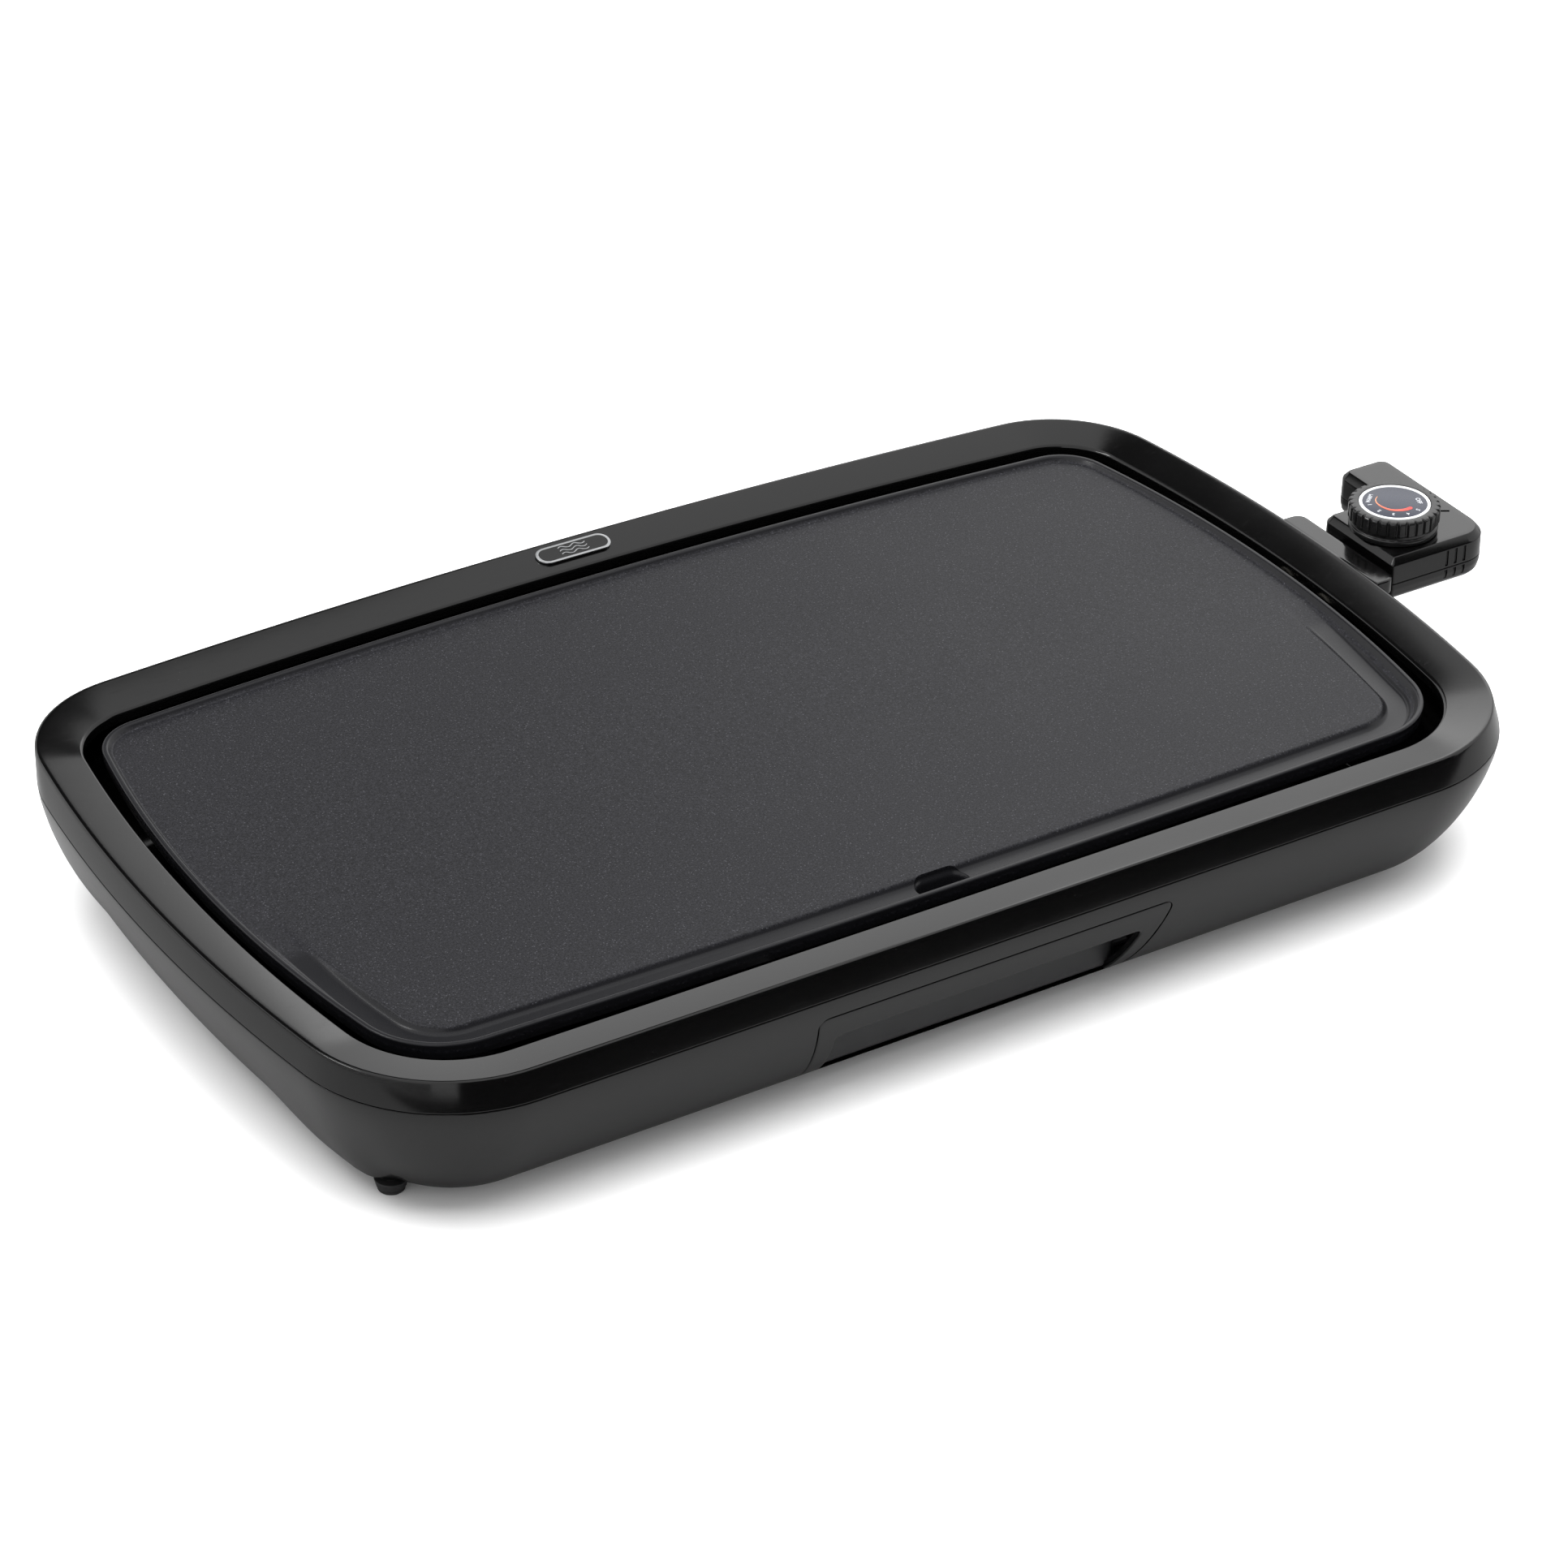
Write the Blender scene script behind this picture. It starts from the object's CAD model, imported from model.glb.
"""Electric griddle: fine surfaces, finishes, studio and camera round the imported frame.

Lengths are millimetres until a mesh is made. x runs along the griddle from its middle, the
drip tray faces -y, the thermostat plugs in at +x, and the rubber feet stand on z = 0.
"""
from math import atan2, cos, hypot, pi, radians, sin, sqrt, tan

import bmesh
import bpy
import numpy as np
from mathutils import Matrix, Vector


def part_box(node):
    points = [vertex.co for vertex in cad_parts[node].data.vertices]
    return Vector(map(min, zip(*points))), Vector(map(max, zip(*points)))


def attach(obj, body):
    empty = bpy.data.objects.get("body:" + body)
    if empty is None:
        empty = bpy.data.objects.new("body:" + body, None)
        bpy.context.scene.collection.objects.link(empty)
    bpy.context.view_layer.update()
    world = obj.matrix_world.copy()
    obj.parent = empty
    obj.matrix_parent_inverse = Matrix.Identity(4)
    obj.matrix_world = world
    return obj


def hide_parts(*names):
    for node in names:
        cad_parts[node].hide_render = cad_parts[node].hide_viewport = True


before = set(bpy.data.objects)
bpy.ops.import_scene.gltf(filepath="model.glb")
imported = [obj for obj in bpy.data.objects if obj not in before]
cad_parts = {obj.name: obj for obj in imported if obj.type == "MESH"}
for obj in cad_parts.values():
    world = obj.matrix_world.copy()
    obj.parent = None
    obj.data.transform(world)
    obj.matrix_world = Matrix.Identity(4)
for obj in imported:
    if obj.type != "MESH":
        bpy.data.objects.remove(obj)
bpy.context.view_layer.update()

MM = 0.001
shell_low, shell_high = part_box("base_shell")
# The griddle's middle, from the frame's origin.
MIDDLE = np.array([(shell_low.x + shell_high.x) / 2 / MM, 0.0, 0.0])
scene = bpy.context.scene

# ---- Sizes --------------------------------------------------------------------------

FIT = 0.3
SHELL = 2.4
# Half length, half width, corner radii, and how far the sides bow out between their corners.
OPENING = dict(a=274.3, b=157.9, front=49, back=32, side=15.8, near=0.4, far=13.4)
CREASE = dict(a=294.7, b=179.9, front=68, back=56, side=19.6, near=0.8, far=14.6)
SEAM = dict(a=297.3, b=183.3, front=70.5, back=80.7, side=19.9, near=0.4, far=8.2)
PLATE = dict(a=269.1, b=149.5, front=38.8, back=24.1, side=18, near=4.2, far=12.3)
EDGE_Z, CREASE_Z, SEAM_Z = 74.5, 78.3, 66.05
FRAME_LIP = 5.3
WALL_TOP = CREASE_Z - 1.4
TONGUE = 2.6
FOOT_Z = 6
BOWL_INSET, BOWL_POWER = 37.3, 1.37
BOWL_TOP = SEAM_Z - FIT / 2

PLATE_LOW, RIM_TOP = 66, 74.4
SURFACE_MID, SURFACE_FALL = 71.5, 1.4
RIM_WIDTH, CHANNEL, CHANNEL_FLOOR = 4.2, 15, 68.3

TRAY_X = -3.5
PANEL_HALF, PANEL_TAPER, PANEL_TOP, PANEL_LOW = 86.8, 7, 55.7, 12.5
PANEL_BORDER, BAND_LOW = 9, 41.5
SLANT = PANEL_TAPER / (PANEL_TOP - PANEL_LOW)
PAN_HALF, PAN_DEPTH, PAN_TOP, PAN_WALL = 79, 110, 46, 1.6
PAN_FRONT = -SEAM["b"] + 27.3

PROBE_Y = -8
ROD_Z, ROD_R, PIN_R, ELEMENT_R = 62.2, 3, 1.9, 3.5
PORT = (PROBE_Y - 22.6, PROBE_Y + 22.6)
HOOD, HOOD_OUT = (-44.5, 26.5), CREASE["a"] + 9
PIN_YS = dict(front=PROBE_Y - 14, back=PROBE_Y + 14)
CASE_X, CASE_LONG, REAR = 310, 57, PROBE_Y + 57
CASE_TOP, CASE_LOW, CASE_SPLIT, CASE_WALL = 80, 58.5, 67.5, 2
KNOB_X, KNOB_Z, KNOB_R = CASE_X + 20, 80.5, 21
KNOB_TOP = KNOB_Z + 12.2
FLUTES = 30
FACE_R, RING_IN, DISC_R = 16.3, 14.9, 14.8
NECK_X = 272
WELL = (205.3, 264)
CORNERS = dict(front_left=(-1, -1), front_right=(1, -1), back_left=(-1, 1), back_right=(1, 1))
POSTS = [(sx * 200, sy * 95, name) for name, (sx, sy) in CORNERS.items()]
FEET = [(sx * 253.3, sy * 123.3, name) for name, (sx, sy) in CORNERS.items()]

# ---- Surfaces -----------------------------------------------------------------------


def smooth(x, low, high):
    """Goes from 0 to 1 between low and high as 3t^2 - 2t^3."""
    t = np.clip((x - low) / (high - low), 0, 1)
    return t * t * (3 - 2 * t)


def touching(o, r, bow):
    """Centre and end angles of the corner circle of radius r that touches both bowed sides.

    Its centre lies at the side's radius less r from the side's centre, and likewise for the
    long side, so it is where two circles cross.
    """
    rs = (o["b"] ** 2 + o["side"] ** 2) / (2 * o["side"])
    rl = (o["a"] ** 2 + bow ** 2) / (2 * bow)
    cs, cl = o["a"] - rs, o["b"] - rl
    p, q, d = rs - r, rl - r, hypot(cs, cl)
    along = (p * p - q * q + d * d) / (2 * d)
    off = sqrt(p * p - along * along)
    ux, uy = -cs / d, cl / d
    spots = [(cs + along * ux + s * off * uy, along * uy - s * off * ux) for s in (-1, 1)]
    x, y = max(spots, key=lambda spot: min(spot))
    return x, y, rs, rl, atan2(y, x - cs), atan2(y - cl, x)


def plan(o, inset=0.0, steps=(44, 18, 36)):
    """Closed outline of four bowed sides and four round corners.

    Each arc is its centre plus (radius - inset) times (cos t, sin t); the inset is a number
    or a function of the outward angle t and the height y along the outline.
    """
    draw = inset if callable(inset) else (lambda t, y: inset)
    fx, fy, rs, rf, f_side, f_long = touching(o, o["front"], o["near"])
    bx, by, _, rb, b_side, b_long = touching(o, o["back"], o["far"])
    side, turn, long = steps
    arcs = [
        (o["a"] - rs, 0, rs, -f_side, b_side, side),
        (bx, by, o["back"], b_side, b_long, turn),
        (0, o["b"] - rb, rb, b_long, pi - b_long, long),
        (-bx, by, o["back"], pi - b_long, pi - b_side, turn),
        (rs - o["a"], 0, rs, pi - b_side, pi + f_side, side),
        (-fx, -fy, o["front"], pi + f_side, pi + f_long, turn),
        (0, rf - o["b"], rf, pi + f_long, 2 * pi - f_long, long),
        (fx, -fy, o["front"], 2 * pi - f_long, 2 * pi - f_side, turn),
    ]
    points = []
    for x, y, r, start, end, count in arcs:
        t = np.linspace(start, end, count, endpoint=False)
        q = r - draw(t, y + r * np.sin(t))
        points.append(np.stack([x + q * np.cos(t), y + q * np.sin(t)], -1))
    return np.concatenate(points)


def ring(points, z):
    """Plan points raised to a height, which may be a function of y or one value a point."""
    height = z(points[:, 1]) if callable(z) else np.broadcast_to(z, len(points))
    return np.column_stack([points, height])


def eased(rings, radii, steps=4):
    """Rounds a section's corners: each ring becomes a quadratic Bezier curve.

    The curve runs between the points that lie the given radius before and after the ring, on
    the lines to its neighbours, and at most 0.48 of the way along them. A section whose last
    ring is its first is rounded there too.
    """
    around = np.allclose(rings[0], rings[-1])
    count = len(rings) - around
    out = []
    for i in range(count):
        here, r = rings[i], radii[i]
        if r == 0 or (not around and i in (0, count - 1)):
            out.append(here)
            continue
        back, on = rings[(i - 1) % count] - here, rings[(i + 1) % count] - here
        far_back = np.linalg.norm(back, axis=-1, keepdims=True) + 1e-9
        far_on = np.linalg.norm(on, axis=-1, keepdims=True) + 1e-9
        start = here + back / far_back * np.minimum(r, 0.48 * far_back)
        end = here + on / far_on * np.minimum(r, 0.48 * far_on)
        for t in np.linspace(0, 1, steps + 1):
            out.append((1 - t) ** 2 * start + 2 * t * (1 - t) * here + t * t * end)
    return out + [out[0]] if around else out


def rounded(corners, inset=0.0, steps=8):
    """Polygon drawn in by an inset, its corners, given as x, y, radius, turned as arcs.

    Each arc's centre lies on the corner's bisector, a radius from both sides.
    """
    spots = np.array([c[:2] for c in corners], float)
    points = []
    for i, (_, _, r) in enumerate(corners):
        before, here, after = spots[i - 1], spots[i], spots[(i + 1) % len(corners)]
        u = (here - before) / np.linalg.norm(here - before)
        w = (after - here) / np.linalg.norm(after - here)
        turn = atan2(u[0] * w[1] - u[1] * w[0], u @ w)
        r = max(r - inset, 0.05) if turn > 0 else r + inset
        normal = atan2(u[0], -u[1])
        middle = np.array([cos(normal + turn / 2), sin(normal + turn / 2)])
        way = 1 if turn > 0 else -1
        centre = here + middle * (inset + way * r) / cos(turn / 2)
        t = normal + pi * (turn > 0) + np.linspace(0, turn, steps + 1)
        points.append(np.stack([centre[0] + r * np.cos(t), centre[1] + r * np.sin(t)], -1))
    return np.concatenate(points)


def slab(corners, z0, z1, edge=0.4, steps=8):
    """Rounded polygon carried from z0 to z1, both rims eased by edge."""
    flat = [ring(rounded(corners, inset, steps), z)
            for inset, z in ((2.2 * edge, z0), (0, z0), (0, z1), (2.2 * edge, z1))]
    return eased(flat, [0, edge, edge, 0], 3)


def block(x0, x1, y0, y1, z0, z1, edge=0.3):
    """Box with eased edges."""
    return slab([(x0, y0, edge), (x1, y0, edge), (x1, y1, edge), (x0, y1, edge)], z0, z1, edge, 3)


def turned(profile, at, axis="z", sides=64, edge=0.25):
    """Body of revolution: (r cos t, r sin t, h) for each radius and height of the profile."""
    t = np.linspace(0, 2 * pi, sides, endpoint=False)
    u, v = at
    rings = []
    for r, h in profile:
        p, q, k = u + r * np.cos(t), v + r * np.sin(t), np.full(sides, float(h))
        order = dict(z=(p, q, k), x=(k, p, q), y=(p, k, q))[axis]
        rings.append(np.stack(order, -1))
    return eased(rings, [edge] * len(rings), 3)


def drilled(outline, y0, y1):
    """Outline in x and z carried along y."""
    return [np.column_stack([outline[:, 0], np.full(len(outline), y), outline[:, 1]])
            for y in (y0, y1)]


def tube(points, r, bend, sides=14):
    """Round bar along a path: P + r (cos t across + sin t up), its corners eased by bend."""
    path = [np.array([p], float) for p in points]
    path = np.concatenate(eased(path, [bend] * len(path), 10))
    path = path[np.insert(np.linalg.norm(np.diff(path, axis=0), axis=1) > 1e-3, 0, True)]
    along = np.gradient(path, axis=0)
    along /= np.linalg.norm(along, axis=1, keepdims=True)
    across = np.cross(along, [0, 0, 1])
    across /= np.linalg.norm(across, axis=1, keepdims=True)
    up = np.cross(across, along)
    t = np.linspace(0, 2 * pi, sides, endpoint=False)[:, None]
    return [p + r * (np.cos(t) * a + np.sin(t) * b) for p, a, b in zip(path, across, up)]


def tilted(rings, slope, spot):
    """Rings turned about the x axis by the slope, then moved to a spot."""
    turn = np.array(Matrix.Rotation(slope, 3, "X"))
    return [points @ turn.T + spot for points in rings]


# ---- Meshes -------------------------------------------------------------------------


def solid(name, *shells):
    """Object of one or more closed skins, each a list of rings of equal length.

    Neighbouring rings are joined by quads and the two ends are closed, unless the last ring
    is the first one again.
    """
    spots, faces, first = [], [], 0
    for shell in shells:
        grid = np.array(shell, float)
        rows, n = grid.shape[:2]
        index = first + np.arange(rows * n).reshape(rows, n)
        low, high = index[:-1], index[1:]
        faces += np.stack([low, np.roll(low, -1, 1), np.roll(high, -1, 1), high],
                          -1).reshape(-1, 4).tolist()
        if not np.allclose(grid[0], grid[-1]):
            faces += [index[0][::-1].tolist(), index[-1].tolist()]
        spots.append(grid.reshape(-1, 3))
        first += rows * n
    mesh = bpy.data.meshes.new(name)
    mesh.from_pydata(((np.concatenate(spots) + MIDDLE) * MM).tolist(), [], faces)
    return linked(name, tidied(mesh))


def tidied(mesh):
    """Merges doubles, drops faces of no area and turns the normals outwards."""
    work = bmesh.new()
    work.from_mesh(mesh)
    bmesh.ops.remove_doubles(work, verts=work.verts, dist=2e-7)
    bmesh.ops.dissolve_degenerate(work, edges=work.edges, dist=1e-8)
    bmesh.ops.recalc_face_normals(work, faces=work.faces)
    work.to_mesh(mesh)
    work.free()
    return mesh


def linked(name, mesh):
    thing = bpy.data.objects.new(name, mesh)
    scene.collection.objects.link(thing)
    return thing


def worked_out(thing):
    """New mesh of a thing as it stands after its modifiers, or of its lettering."""
    bpy.context.view_layer.update()
    graph = bpy.context.evaluated_depsgraph_get()
    return bpy.data.meshes.new_from_object(thing.evaluated_get(graph))


def combined(thing, way, shells):
    tool = solid("tool", *shells)
    modifier = thing.modifiers.new(way, "BOOLEAN")
    modifier.operation, modifier.solver, modifier.object = way, "MANIFOLD", tool
    mesh = worked_out(thing)
    thing.modifiers.clear()
    thing.data = mesh
    bpy.data.objects.remove(tool)
    return thing


def cut(thing, *shells):
    """Cuts shells that lie clear of each other out of a body."""
    return combined(thing, "DIFFERENCE", shells)


def joined(thing, *shells):
    """Joins shells that lie clear of each other to a body."""
    return combined(thing, "UNION", shells)


def place(thing, finish, body, *nodes, slot=None, sharp=32):
    """Smooths a piece up to a sharp angle, gives it its finish, and sets it on its body."""
    thing.data.shade_smooth()
    thing.data.set_sharp_from_angle(angle=radians(sharp))
    thing.data.materials.clear()
    thing.data.materials.append(finish)
    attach(thing, body)
    if nodes:
        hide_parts(*nodes)
    return thing


def softened(node, finish, body, slot, width=0.25):
    """Copy of a plain bent or cut part with its edges eased by a bevel."""
    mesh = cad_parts[node].data.copy()
    work = bmesh.new()
    work.from_mesh(mesh)
    bmesh.ops.remove_doubles(work, verts=work.verts, dist=1e-6)
    bmesh.ops.dissolve_limit(work, angle_limit=radians(1), verts=work.verts, edges=work.edges)
    work.to_mesh(mesh)
    work.free()
    thing = linked(f"{node}_fine", mesh)
    bevel = thing.modifiers.new("eased", "BEVEL")
    bevel.width, bevel.segments, bevel.angle_limit = width * MM, 2, radians(50)
    bevel.use_clamp_overlap = True
    return place(thing, finish, body, node, slot=slot)


# ---- Finishes -----------------------------------------------------------------------


class Shade:
    """A socket of a finish; arithmetic on it adds Math nodes."""

    def __init__(self, finish, socket):
        self.finish, self.socket = finish, socket

    def math(self, operation, *values):
        return self.finish.node("Math", dict(operation=operation), dict(enumerate(values)))

    def __add__(self, other): return self.math("ADD", self, other)
    def __sub__(self, other): return self.math("SUBTRACT", self, other)
    def __mul__(self, other): return self.math("MULTIPLY", self, other)
    def __truediv__(self, other): return self.math("DIVIDE", self, other)
    def __rsub__(self, other): return self.math("SUBTRACT", other, self)
    __radd__, __rmul__ = __add__, __mul__

    def size(self): return self.math("ABSOLUTE", self)

    def step(self, low, high):
        """0 below low, 1 above high, smooth between."""
        return self.finish.node("MapRange", dict(interpolation_type="SMOOTHSTEP", clamp=True),
                                {"Value": self, "From Min": low, "From Max": high})


class Finish:
    """A material: its Principled shader's constants, and the shades that feed it."""

    def __init__(self, name, **constants):
        self.material = bpy.data.materials.new(name)
        self.material.use_nodes = True
        self.tree = self.material.node_tree
        self.shader = self.tree.nodes["Principled BSDF"]
        for socket, value in constants.items():
            self.shader.inputs[socket.replace("_", " ")].default_value = value
        self.spot = self.node("TexCoord", out="Object")

    def node(self, kind, settings=None, inputs=None, out=0):
        made = self.tree.nodes.new(f"ShaderNode{kind}")
        for key, value in (settings or {}).items():
            if key == "stops":
                for i, (where, colour) in enumerate(value):
                    ramp = made.color_ramp.elements
                    stop = ramp[i] if i < 2 else ramp.new(where)
                    stop.position, stop.color = where, (*colour, 1)
            else:
                setattr(made, key, value)
        for key, value in (inputs or {}).items():
            if isinstance(value, Shade):
                self.tree.links.new(value.socket, made.inputs[key])
            else:
                made.inputs[key].default_value = value
        return Shade(self, made.outputs[out])

    def moved(self, spot=(0, 0, 0), turn=(0, 0, 0), scale=(1, 1, 1)):
        """Object coordinates about a spot of the griddle, in metres, stretched by a scale."""
        centre = tuple(-(np.array(spot, float) + MIDDLE) * MM)
        shifted = self.node("VectorMath", dict(operation="ADD"), {0: self.spot, 1: centre})
        return self.node("Mapping", None, {"Vector": shifted, "Rotation": turn, "Scale": scale})

    def noise(self, size, detail=2.0, vector=None, rough=0.5):
        """Cloud noise between 0 and 1 with features about size millimetres across."""
        return self.node("TexNoise", None, {"Vector": vector or self.spot, "Scale": 1 / (size * MM),
                                            "Detail": detail, "Roughness": rough})

    def cells(self, size, vector=None):
        """Distance to the nearest of points scattered about size millimetres apart."""
        return self.node("TexVoronoi", None,
                         {"Vector": vector or self.spot, "Scale": 1 / (size * MM)})

    def mix(self, factor, a, b):
        """Colour a at 0, colour b at 1."""
        a, b = (c if isinstance(c, Shade) else (*c, 1) for c in (a, b))
        return self.node("Mix", dict(data_type="RGBA"), {0: factor, 6: a, 7: b}, out=2)

    def axis(self, name, vector=None):
        return self.node("SeparateXYZ", None, {0: vector or self.spot}, out="XYZ".index(name))

    def bump(self, height, depth, under=None):
        """Normal from a height, at a depth in millimetres, over another bump."""
        inputs = {"Height": height, "Distance": depth * MM, "Strength": 1.0}
        if under:
            inputs["Normal"] = under
        return self.node("Bump", None, inputs)

    def feed(self, **shades):
        for socket, shade in shades.items():
            self.tree.links.new(shade.socket, self.shader.inputs[socket.replace("_", " ")])
        return self.material


def gloss_plastic(name, tone=0.0014, rough=0.1, peel=0.003):
    """Polished moulding: faint orange peel, a breath of dust and rubbing marks in the gloss."""
    f = Finish(name, IOR=1.5)
    haze = f.noise(38, 4)
    rubbed = f.noise(1.2, 3, f.moved(turn=(0.2, 0.1, 0.7), scale=(0.12, 1, 1)))
    dust = f.cells(3.1).step(0.06, 0.02) * f.noise(22, 2).step(0.5, 0.62)
    colour = f.mix(haze, (tone * 0.85,) * 3, (tone * 1.2, tone * 1.2, tone * 1.25))
    return f.feed(
        Base_Color=f.mix(dust * 0.35, colour, (0.12, 0.12, 0.115)),
        Roughness=rough + haze * 0.05 + rubbed.step(0.55, 0.8) * 0.05 + dust * 0.2,
        Normal=f.bump(f.noise(2.6, 3), peel))


def non_stick_coat(name):
    """Sprayed coating: close fine speckle on the cooking face, smoother on rim and channel."""
    f = Finish(name, IOR=1.36)
    fall = SURFACE_FALL / (2 * PLATE["b"])
    depth = f.axis("Z") - (f.axis("Y") * fall + SURFACE_MID * MM)
    face = 1 - depth.size().step(0.0005, 0.0011)
    speck = f.noise(0.9, 3, rough=0.7)
    flecks = f.cells(1.5).step(0.3, 0.12) * f.noise(0.6, 2).step(0.4, 0.6)
    wear = f.noise(60, 3)
    grain = f.mix(speck.step(0.35, 0.68), (0.003, 0.003, 0.004), (0.012, 0.012, 0.0145))
    grain = f.mix(flecks * 0.4, grain, (0.08, 0.08, 0.09))
    plain = f.mix(wear, (0.004, 0.004, 0.005), (0.008, 0.008, 0.009))
    return f.feed(
        Base_Color=f.mix(face, plain, grain),
        Roughness=0.26 + face * 0.14 + wear * 0.06 + speck * face * 0.06,
        Normal=f.bump(speck * face + f.noise(0.35, 1) * 0.3, 0.03, f.bump(wear, 0.02)))


def moulded(name, colour, rough=0.5, grain=0.7, depth=0.03, shift=0.25):
    """Matt moulding or fired part: spark-eroded grain and slightly cloudy colour."""
    f = Finish(name, IOR=1.5)
    cloud, fine = f.noise(14, 3), f.noise(grain, 3, rough=0.6)
    dark = tuple(c * (1 - shift) for c in colour)
    light = tuple(min(c * (1 + shift), 0.95) for c in colour)
    return f.feed(
        Base_Color=f.mix(cloud * 0.6 + fine * 0.4, dark, light),
        Roughness=rough + (fine - 0.5) * 0.18 + (cloud - 0.5) * 0.1,
        Normal=f.bump(fine, depth))


def drawn_metal(name, colour, rough=0.3, stretch=(0.04, 1, 1), tint=None, metal=1.0):
    """Rolled or turned metal: fine lines along one way, cloudy gloss, and a heat tint."""
    f = Finish(name)
    lines = f.noise(0.5, 3, f.moved(scale=stretch))
    cloud = f.noise(17, 3)
    base = f.mix(cloud, tuple(c * 0.82 for c in colour), tuple(min(c * 1.1, 1) for c in colour))
    base = f.mix(lines.step(0.3, 0.75) * 0.3, base, tuple(c * 0.6 for c in colour))
    if tint:
        base = f.mix(f.noise(31, 4).step(0.45, 0.7) * 0.6, base, tint)
    f.shader.inputs["Metallic"].default_value = metal
    return f.feed(Base_Color=base, Roughness=rough + lines * 0.12 + (cloud - 0.5) * 0.12,
                  Normal=f.bump(lines, 0.006))


def dial_print(name):
    """Printed scale from pale orange to red, by the angle round the dial."""
    f = Finish(name, IOR=1.5)
    spot = f.moved((KNOB_X, PROBE_Y, 0), turn=(0, 0, radians(-110)))
    angle = f.node("Math", dict(operation="ARCTAN2"), {0: f.axis("Y", spot), 1: f.axis("X", spot)})
    share = (angle + (angle * -1000).step(0, 1) * (2 * pi)) / radians(190)
    ink = f.node("ValToRGB", dict(stops=[(0, (0.75, 0.36, 0.17)), (0.4, (0.72, 0.12, 0.06)),
                                        (1, (0.62, 0.03, 0.03))]), {0: share})
    return f.feed(Base_Color=f.mix(f.noise(0.5) * 0.25, ink, (0.5, 0.1, 0.08)),
                  Roughness=0.38 + f.noise(0.8) * 0.1)


GLOSS = gloss_plastic("gloss_black_moulding")
KNOB_BLACK = gloss_plastic("knob_black_moulding", 0.005, 0.2, 0.006)
COAT = non_stick_coat("speckled_non_stick_coat")
MATT = moulded("matt_black_moulding", (0.02, 0.02, 0.021), 0.45)
RUBBER = moulded("black_rubber", (0.018, 0.018, 0.018), 0.82, 0.5, 0.05)
CERAMIC = moulded("fired_ceramic", (0.72, 0.68, 0.6), 0.6, 0.4, 0.03, 0.08)
LEAD = moulded("lead_sleeve", (0.75, 0.75, 0.72), 0.4, 0.5, 0.015, 0.06)
INK = moulded("white_ink", (0.78, 0.79, 0.8), 0.4, 0.3, 0.004, 0.04)
FACE = moulded("dial_face_lacquer", (0.014, 0.017, 0.03), 0.24, 0.5, 0.003)
STEEL = drawn_metal("bright_steel", (0.62, 0.63, 0.64), 0.24)
SPUN = drawn_metal("turned_steel", (0.6, 0.6, 0.6), 0.22, (1, 1, 0.1))
HOT_STEEL = drawn_metal("heat_tinted_steel", (0.2, 0.18, 0.17), 0.42, (1, 1, 1),
                        (0.1, 0.11, 0.16), 0.9)
BRASS = drawn_metal("sheet_brass", (0.62, 0.47, 0.2), 0.28)
LETTER_INK = moulded("letter_ink", (0.4, 0.41, 0.43), 0.45, 0.3, 0.004, 0.06)
SCALE_INK = dial_print("scale_ink")

# ---- Housing ------------------------------------------------------------------------


def bowl_inset(t, y):
    """Full draw at the long sides and corners, 0.2 less at the ends, 0.16 back in the grips."""
    sideways = smooth(np.abs(np.cos(t)), 0.85, 0.999)
    grip = sideways * (1 - smooth(np.abs(y) / OPENING["b"], 0.4, 0.68))
    return BOWL_INSET * (1 - 0.2 * sideways + 0.16 * grip)


def bowl_ring(t, wall=0.0):
    """Ring of the bowl at quarter angle t: drawn in by 1 - cos^p t, lowered by sin^p t."""
    draw = 1 - max(cos(t), 0) ** BOWL_POWER
    z = BOWL_TOP - (BOWL_TOP - FOOT_Z - wall) * sin(t) ** BOWL_POWER
    return ring(plan(SEAM, lambda angle, y: wall + (bowl_inset(angle, y) - wall) * draw), z)


def panel(gap):
    """Outline of the tray's front in x and z, narrower downwards, grown by a gap."""
    z0, z1 = PANEL_LOW - gap, PANEL_TOP + gap
    w0, w1 = (PANEL_HALF + gap - SLANT * (PANEL_TOP - z) for z in (z0, z1))
    return rounded([(TRAY_X - w0, z0, 1.5), (TRAY_X + w0, z0, 1.5),
                    (TRAY_X + w1, z1, 5), (TRAY_X - w1, z1, 5)])


TONGUE_Z = SEAM_Z + TONGUE
LEAN = TONGUE / (WALL_TOP - SEAM_Z)


def leaning(inset):
    """Outline part of the way from the seam's to the crease's, as the frame's wall leans."""
    return plan(SEAM, inset) * (1 - LEAN) + plan(CREASE, inset) * LEAN


outer_bowl = [bowl_ring(t) for t in np.linspace(pi / 2, 0, 34)]
inner_bowl = [bowl_ring(t, SHELL) for t in np.linspace(radians(36), pi / 2, 14)]
lip = eased([outer_bowl[-2], outer_bowl[-1], ring(plan(SEAM, 3.7), BOWL_TOP),
             ring(leaning(3.7), TONGUE_Z), ring(leaning(5.5), TONGUE_Z),
             ring(plan(SEAM, 5.5), inner_bowl[0][0, 2] + 14)], [0, 0.5, 0.3, 0.4, 0.4, 0])
base = solid("bowl_base", outer_bowl[:-2] + lip + inner_bowl)
holes = [turned([(0, -2), (3.3, -2), (3.3, 13), (0, 13)], (x, y), sides=32, edge=0)
         for x, y, _ in FEET]
holes += [turned([(0, -2), (2.4, -2), (2.4, 10), (0, 10)], (x, y), sides=32, edge=0)
          for x, y, _ in POSTS]
holes += [slab([(110, y, 1.9), (170, y, 1.9), (170, y + 4, 1.9), (110, y + 4, 1.9)], 4, 10, 0.01)
          for y in range(14, 63, 12)]
holes.append(drilled(panel(0.6), -SEAM["b"] - 5, -SEAM["b"] + BOWL_INSET + 2))
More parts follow.
